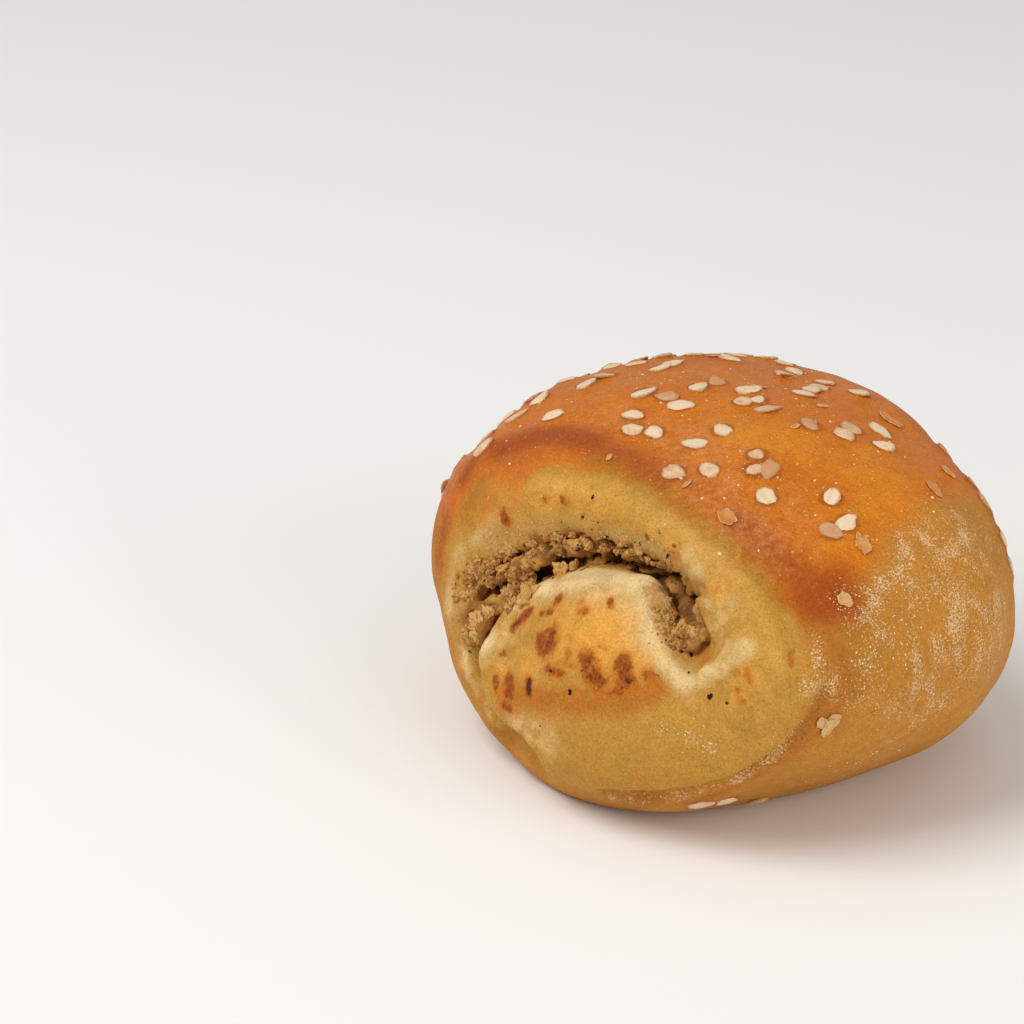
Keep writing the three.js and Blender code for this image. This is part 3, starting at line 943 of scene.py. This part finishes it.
# ---------------------------------------------------------------------------------------------
# Pepper. Coarsely ground black pepper from the seasoned mince, which stuck to the dough about the
# gap and on the tongue when the roll was cut.
PEPPER = (  # pixel, size
    ((577, 548), 0.75), ((593, 497), 0.4), ((583, 517), 0.3), ((524, 545), 0.35),
    ((507, 563), 0.35), ((520, 553), 0.3), ((474, 576), 0.35), ((466, 631), 0.45),
    ((470, 652), 0.3), ((570, 692), 0.75), ((553, 578), 0.3), ((620, 551), 0.3),
    ((668, 556), 0.45), ((602, 544), 0.25), ((607, 537), 0.25), ((609, 543), 0.25),
    ((640, 544), 0.3), ((656, 565), 0.25), ((542, 536), 0.2), ((569, 536), 0.2),
    ((681, 632), 0.45), ((678, 617), 0.35), ((663, 615), 0.4), ((666, 640), 0.25),
    ((681, 652), 0.4), ((691, 654), 0.65), ((689, 673), 0.45), ((710, 697), 0.6),
    ((727, 703), 0.35), ((540, 726), 0.2), ((551, 671), 0.35),
)
FINE_SPECKS = 80
dice = random.Random(11)
bm = bmesh.new()
tone_layer = bm.verts.layers.float.new("tone")
for pixel, size in PEPPER:
    place, normal = seen_at(pixel)
    lump(bm, tone_layer, place, normal, size, dice.random(), dice, 2)
for _ in range(FINE_SPECKS):
    at = dice.random()
    px, py = mix(462, 690, at), 600 - 66 * math.sin(math.pi * at) ** 0.7 + dice.gauss(0, 10)
    place, normal = seen_at((px, py))
    lump(bm, tone_layer, place, normal, dice.uniform(0.12, 0.25), dice.random(), dice)
pepper = new_piece("ground_pepper", bm)

# Ground pepper: near black skin with brown specks where the grain broke open.
material, tree, shader = new_material("black_pepper")
place = add(tree, "TexCoord").outputs["Object"]
texture = {"Vector": place, "Scale": scale_for(0.2), "Detail": 3}
grain = add(tree, "TexNoise", texture).outputs["Fac"]
colour = layered(tree, "#1d120b", [("tone", grain, 1.2, 0.4, 1.2, 1, "#4a2c18")])
plug(shader, {"Base Color": colour, "Roughness": 0.7, "Specular IOR Level": 0.2})
pepper.data.materials.append(material)
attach(pepper, "root")

# ---------------------------------------------------------------------------------------------
# Sesame. Hulled seeds that were strewn on the wet egg wash and baked on to it, most of them on
# the top, and some of them toasted through or broken.
SEED_LENGTH, SEED_WIDTH, SEED_THICK = 3.3, 2.2, 0.6
SEEDS = (  # pixel, way the tip points in the photo in degrees, length against a whole one, toast
    ((553, 417), 205, 0.9, 0.1), ((540, 401), 38, 1.1, 0), ((518, 417), 35, 1, 0.3),
    ((484, 448), 40, 1, 0.3), ((587, 385), 33, 1, 0.2), ((607, 377), 20, 1, 0.1),
    ((637, 365), 5, 1, 0.2), ((661, 369), 17, 1, 0), ((673, 365), 17, 1, 0.1),
    ((644, 394), 20, 1, 0.1), ((667, 398), 175, 0.85, 0.7), ((681, 407), 0, 1.05, 0),
    ((634, 416), 340, 0.9, 0.1), ((632, 431), 160, 0.95, 0.4), ((655, 434), 310, 1, 0),
    ((675, 474), 345, 0.95, 0.6), ((709, 471), 130, 1, 0.35), ((695, 445), 178, 1, 0),
    ((722, 431), 130, 1, 0), ((699, 388), 35, 0.95, 0.1), ((717, 384), 140, 0.85, 0.75),
    ((750, 391), 10, 1.05, 0.1), ((758, 401), 30, 0.6, 0.2), ((743, 403), 325, 0.9, 0.45),
    ((768, 410), 5, 1, 0.5), ((731, 360), 345, 1, 0.1), ((695, 356), 355, 0.8, 0.2),
    ((785, 365), 340, 0.9, 0.2), ((795, 373), 320, 1, 0.1), ((785, 376), 150, 1, 0.45),
    ((826, 384), 320, 1, 0.1), ((820, 389), 320, 1, 0.2), ((811, 391), 328, 1, 0.2),
    ((804, 395), 335, 1, 0.1), ((811, 427), 320, 0.9, 0.7), ((859, 394), 323, 1.05, 0.1),
    ((880, 432), 310, 1.1, 0), ((853, 431), 325, 1, 0.6), ((844, 436), 320, 0.95, 0.4),
    ((882, 447), 160, 0.95, 0.1), ((831, 500), 240, 0.95, 0), ((847, 524), 40, 0.95, 0),
    ((831, 532), 330, 0.95, 0.7), ((767, 499), 310, 0.95, 0.15), ((769, 471), 240, 1, 0.8),
    ((754, 471), 200, 0.65, 0.3), ((757, 456), 320, 0.65, 0.5), ((701, 803), 10, 1, 0.3),
    ((727, 799), 5, 0.9, 0.2), ((759, 798), 350, 1, 0.3),
)
HIDDEN_SEEDS = 46
SEEDS_APART = 3.6  # between the hidden ones
SEEDS_DOWN_TO = 25  # height to which they were strewn
STREWN_FROM, STREWN_TO = -19, 22  # along the roll, clear of the cut ends
CRUST_FROM = 0.75  # share of the section past which a place is on the crust and not in the gap


def set_seed(bm, layers, place, normal, direction, length, toast, dice):
    """A flat drop-shaped seed, slightly uneven, laid on the surface with its tip in a direction."""
    made = bmesh.ops.create_uvsphere(bm, u_segments=16, v_segments=11, radius=1)["verts"]
    wide = dice.uniform(0.92, 1.1)
    start = Vector([dice.uniform(0, 99) for _ in range(3)])
    streaks = dice.uniform(0, 50)
    toast += dice.uniform(-0.05, 0.15)
    for v in made:
        tip = v.co.z
        narrow = (1 - 0.26 * tip) * (1 - 0.12 * max(tip, 0) ** 2)
        height = math.copysign(abs(v.co.y) ** 0.6, v.co.y)
        v[layers[0]] = toast + 0.35 * noise.noise(v.co * 1.5 + start)
        v[layers[1]] = math.hypot(tip, v.co.x) ** 3
        v[layers[2]] = v.co.x * 1.8 + streaks
        chips = 0.2 * noise.noise(v.co * 1.6 + start) + 0.12 * noise.noise(v.co * 4 + start)
        v.co = Vector((tip, v.co.x * narrow * wide, height * narrow)) * (1 + chips)
    tilt = Vector([dice.gauss(0, 0.1) for _ in range(3)])
    size = (SEED_LENGTH * length / 2, SEED_WIDTH * mix(length, 1, 0.5) / 2, SEED_THICK / 2)
    stand = SEED_THICK * 0.2
    matrix = laid(place + normal * stand, (normal + tilt).normalized(), direction, size)
    bmesh.ops.transform(bm, verts=made, matrix=matrix)


def along_surface(normal, clock):
    """The direction on the surface that points the photo's way, in degrees from its right."""
    flat = right * math.cos(math.radians(clock)) + up * math.sin(math.radians(clock))
    facing = max(normal.dot(back), 0.12)
    return (flat - back * (normal.dot(flat) / facing)).normalized()


def hidden_place(dice, lowest):
    """A random place of the roll's crust that the camera doesn't see."""
    while True:
        ray = Vector((dice.gauss(0, 1), dice.gauss(0, 1), abs(dice.gauss(0.9, 0.5)))).normalized()
        place, normal, *_ = surface.ray_cast(Vector((0, 0, WAIST)) + ray * 100, -ray)
        if place is None or place.z < lowest or not STREWN_FROM <= place.y <= STREWN_TO:
            continue
        if share_at(place.x - shift[0], place.z - shift[2]) < CRUST_FROM:
            continue
        if normal.dot((eye - place).normalized()) < 0.05:
            return place, normal


dice = random.Random(3)
bm = bmesh.new()
layers = [bm.verts.layers.float.new(name) for name in ("toast", "margin", "streak")]
seed_places = []
for pixel, clock, length, toast in SEEDS:
    place, normal = seen_at(pixel)
    set_seed(bm, layers, place, normal, along_surface(normal, clock), length, toast, dice)
    seed_places.append(place)
while len(seed_places) < len(SEEDS) + HIDDEN_SEEDS:
    place, normal = hidden_place(dice, SEEDS_DOWN_TO)
    if min((place - spot).length for spot in seed_places) < SEEDS_APART:
        continue
    direction = Vector([dice.gauss(0, 1) for _ in range(3)])
    toast = dice.choice((0, 0, 0.1, 0.2, 0.4, 0.7))
    set_seed(bm, layers, place, normal, direction, dice.uniform(0.9, 1.05), toast, dice)
    seed_places.append(place)
sesame = new_piece("sesame_seeds", bm)

# Toasted sesame: a hard, faintly oily ivory shell, tan at its ends and where it was toasted.
material, tree, shader = new_material("toasted_sesame")
place = add(tree, "TexCoord").outputs["Object"]
texture = {"Vector": place, "Scale": scale_for(0.4), "Detail": 3}
grain = add(tree, "TexNoise", texture).outputs["Fac"]
streak = add(tree, "Attribute", attribute_name="streak").outputs["Fac"]
texture = {"W": streak, "Scale": 1, "Detail": 2}
fibre = add(tree, "TexNoise", texture, noise_dimensions="1D").outputs["Fac"]
colour = layered(tree, "#e9ceaa", (
    ("toast", grain, 0.6, 0, 1, 1, "#c68f60"),
    (fibre, grain, 0.8, 0.45, 0.85, 0.35, "#c99c6c"),
    ("margin", grain, 0.8, 0.45, 1.1, 0.75, "#b57f4c"),
))
relief = {"Height": fibre, "Strength": 0.5, "Distance": 0.08 * MM}
ridges = add(tree, "Bump", relief).outputs[0]
plug(shader, {
    "Base Color": colour, "Roughness": 0.5, "IOR": 1.47, "Specular IOR Level": 0.3,
    "Subsurface Weight": 0.15, "Subsurface Scale": 0.5 * MM, "Normal": ridges,
})
sesame.data.materials.append(material)
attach(sesame, "root")

# the dough swelled up round the seeds, and a darker ring round each is partly egg wash that pooled
# and browned against them and partly painted contact shade
halo_and_contact_shade = np.zeros(len(places))
for spot in seed_places:
    gap = np.linalg.norm(places - np.array(spot), axis=1)
    halo_and_contact_shade = np.maximum(halo_and_contact_shade, bump(gap, 1.2, 0.5))
paint(dough, "halo_and_contact_shade", halo_and_contact_shade)
move_to(dough, places + normals_of(dough) * (0.22 * halo_and_contact_shade * crust)[:, None])
surface = surface_of(dough)

# ---------------------------------------------------------------------------------------------
# Hulls. Shells that came off the seeds, thin as paper and curled at the edge. The egg wash glued
# them flat to the crust, where they baked amber.
HULLS = (  # pixel, way it points, length, width, in millimetres, how pale
    ((934, 489), 300, 3.1, 1.5, 0.5), ((863, 544), 285, 2.7, 1.4, 0.6),
    ((828, 727), 60, 2.6, 1.5, 1), ((833, 720), 20, 1.9, 1.6, 1), ((822, 722), 100, 1.6, 1.1, 0.9),
    ((890, 421), 325, 3.2, 1.4, 0.4), ((947, 472), 305, 2.4, 1.1, 0.6),
    ((727, 518), 320, 2.6, 1.6, 0.3), ((845, 600), 120, 1.6, 1.5, 0.8),
    ((812, 424), 200, 1.2, 0.8, 0.6), ((610, 458), 60, 0.9, 0.5, 0.9),
    ((687, 485), 40, 1.3, 0.4, 0.7), ((822, 407), 175, 1.5, 0.4, 0.8),
    ((796, 427), 20, 1, 0.7, 0.7),
)
HIDDEN_HULLS = 8
HULLS_DOWN_TO = 20
HULL_THICK = 0.07
dice = random.Random(19)
bm = bmesh.new()
layers = bm.verts.layers.float.new("edge"), bm.verts.layers.float.new("tone")


def set_hull(bm, layers, place, normal, direction, length, width, tone, dice):
    """A ragged oval flake with its edge curled up, laid on the surface along a direction."""
    outer = bmesh.ops.create_circle(bm, cap_ends=True, segments=24, radius=1)["verts"]
    (middle,) = outer[0].link_faces
    bmesh.ops.inset_individual(bm, faces=[middle], thickness=0.16)
    inner = list(middle.verts)
    start = Vector([dice.uniform(0, 99) for _ in range(3)])
    for verts, at_edge, height in ((outer, 1, 0.6), (inner, 0, 0)):
        for v in verts:
            wobble = 0.45 * noise.noise(v.co * 1.3 + start) + 0.25 * noise.noise(v.co * 3.5 + start)
            v[layers[0]] = at_edge
            v[layers[1]] = tone
            v.co = Vector((v.co.x, v.co.y, height)) * (1 + wobble)
    matrix = laid(place + normal * 0.1, normal, direction, (length / 2, width / 2, 0.25))
    bmesh.ops.transform(bm, verts=outer + inner, matrix=matrix)
    faces = list(dict.fromkeys(f for v in outer + inner for f in v.link_faces))
    bmesh.ops.solidify(bm, geom=faces, thickness=HULL_THICK * MM)


for pixel, clock, length, width, tone in HULLS:
    place, normal = seen_at(pixel)
    set_hull(bm, layers, place, normal, along_surface(normal, clock), length, width, tone, dice)
for _ in range(HIDDEN_HULLS):
    place, normal = hidden_place(dice, HULLS_DOWN_TO)
    direction = Vector([dice.gauss(0, 1) for _ in range(3)])
    length, width = dice.uniform(2.2, 3.1), dice.uniform(1, 1.6)
    set_hull(bm, layers, place, normal, direction, length, width, 0.5, dice)
bmesh.ops.recalc_face_normals(bm, faces=bm.faces)
hulls = new_piece("seed_hulls", bm)

# A dry hull soaked with egg wash: amber like the crust under it, and ivory at its curled edge.
material, tree, shader = new_material("glued_seed_hull")
place = add(tree, "TexCoord").outputs["Object"]
texture = {"Vector": place, "Scale": scale_for(0.4), "Detail": 3}
grain = add(tree, "TexNoise", texture).outputs["Fac"]
colour = layered(tree, "#c87a2c", (
    ("tone", grain, 0.8, 0.3, 1.2, 0.9, "#dcb47a"),
    ("edge", grain, 2.4, 0.5, 1.3, 0.8, "#e2c190"),
))
plug(shader, {"Base Color": colour, "Roughness": 0.4, "IOR": 1.45})
hulls.data.materials.append(material)
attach(hulls, "root")

# ---------------------------------------------------------------------------------------------
# Specks. Grains of flour from the worktop, thickest on the floured flank, and fine bits of hull
# about the seeds. Both stuck in the egg wash before it dried.
FLOUR_GRAINS, HULL_BITS, HIDDEN_BITS = 800, 420, 200
BITS_DOWN_TO, HIDDEN_BITS_DOWN_TO = 14, 6
dice = random.Random(23)
bm = bmesh.new()
tone_layer = bm.verts.layers.float.new("tone")
for k in range(HULL_BITS):
    if k % 2:
        px, py = dice.choice(SEEDS)[0]
        pixel = (px + dice.gauss(0, 22), py + dice.gauss(0, 18))
    else:
        pixel = (dice.uniform(480, 960), dice.uniform(370, 560))
    place, normal, *_ = surface.ray_cast(eye, ray_through(pixel))
    if place is not None and place.z > BITS_DOWN_TO:
        size = 0.12 + 0.3 * dice.random() ** 3
        lump(bm, tone_layer, place, normal, size, dice.uniform(0.2, 1), dice)
for _ in range(FLOUR_GRAINS):
    _, spread, *pixels = dice.choice(TOUCHES["flour"])
    ends = dice.choice(list(zip(pixels, pixels[1:])))
    along_line = dice.random()
    px, py = [mix(a, b, along_line) + dice.gauss(0, spread * 5) for a, b in zip(*ends)]
    place, normal, *_ = surface.ray_cast(eye, ray_through((px, py)))
    if place is not None:
        lump(bm, tone_layer, place, normal, dice.uniform(0.1, 0.24), dice.uniform(0.3, 0.9), dice)
for _ in range(HIDDEN_BITS):
    place, normal = hidden_place(dice, HIDDEN_BITS_DOWN_TO)
    lump(bm, tone_layer, place, normal, dice.uniform(0.16, 0.4), dice.uniform(0.3, 1), dice)
specks = new_piece("flour_and_hull_specks", bm)

# Flour and hull dust: matt cream, and tan where the fat or the wash took it up.
material, tree, shader = new_material("flour_speck")
place = add(tree, "TexCoord").outputs["Object"]
texture = {"Vector": place, "Scale": scale_for(0.3), "Detail": 3}
grain = add(tree, "TexNoise", texture).outputs["Fac"]
colour = layered(tree, "#cf9450", [("tone", grain, 0.8, 0.1, 0.9, 1, "#ecd6b0")])
plug(shader, {"Base Color": colour, "Roughness": 0.7, "Specular IOR Level": 0.3})
specks.data.materials.append(material)
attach(specks, "root")

# ---------------------------------------------------------------------------------------------
# Floor and lights. A sheet of pale paper under a wide soft light from the upper left and a weaker
# one from the right, in a white room.
bm = bmesh.new()
bmesh.ops.create_grid(bm, x_segments=2, y_segments=2, size=2)
floor = new_piece("floor", bm)

# Matt pale paper, which takes a soft shadow and no gloss.
material, tree, shader = new_material("pale_paper")
plug(shader, {"Base Color": linear("#f4f2ee"), "Roughness": 0.9})
floor.data.materials.append(material)
world = bpy.data.worlds.new("studio")
bpy.context.scene.world = world
world.use_nodes = True
plug(world.node_tree.nodes["Background"], {"Color": (1, 1, 1, 1), "Strength": 0.47})
LIGHTS = (  # name, size in metres, watts, where it stands: to the right, above, towards the camera
    ("key", 0.5, 3.4, (-0.4, 0.5, 0.35)),
    ("fill", 0.6, 2.1, (0.45, -0.05, 0.45)),
)
for name, size, watts, (aside, above, nearer) in LIGHTS:
    lamp = bpy.data.objects.new(name, bpy.data.lights.new(name, "AREA"))
    lamp.data.size = size
    lamp.data.energy = watts
    lamp.location = ROLL_MIDDLE * MM + right * aside + up * above + back * nearer
    lamp.rotation_mode = "QUATERNION"
    lamp.rotation_quaternion = (ROLL_MIDDLE * MM - lamp.location).to_track_quat("-Z", "Y")
    bpy.context.scene.collection.objects.link(lamp)
bpy.context.scene.view_settings.view_transform = "Standard"
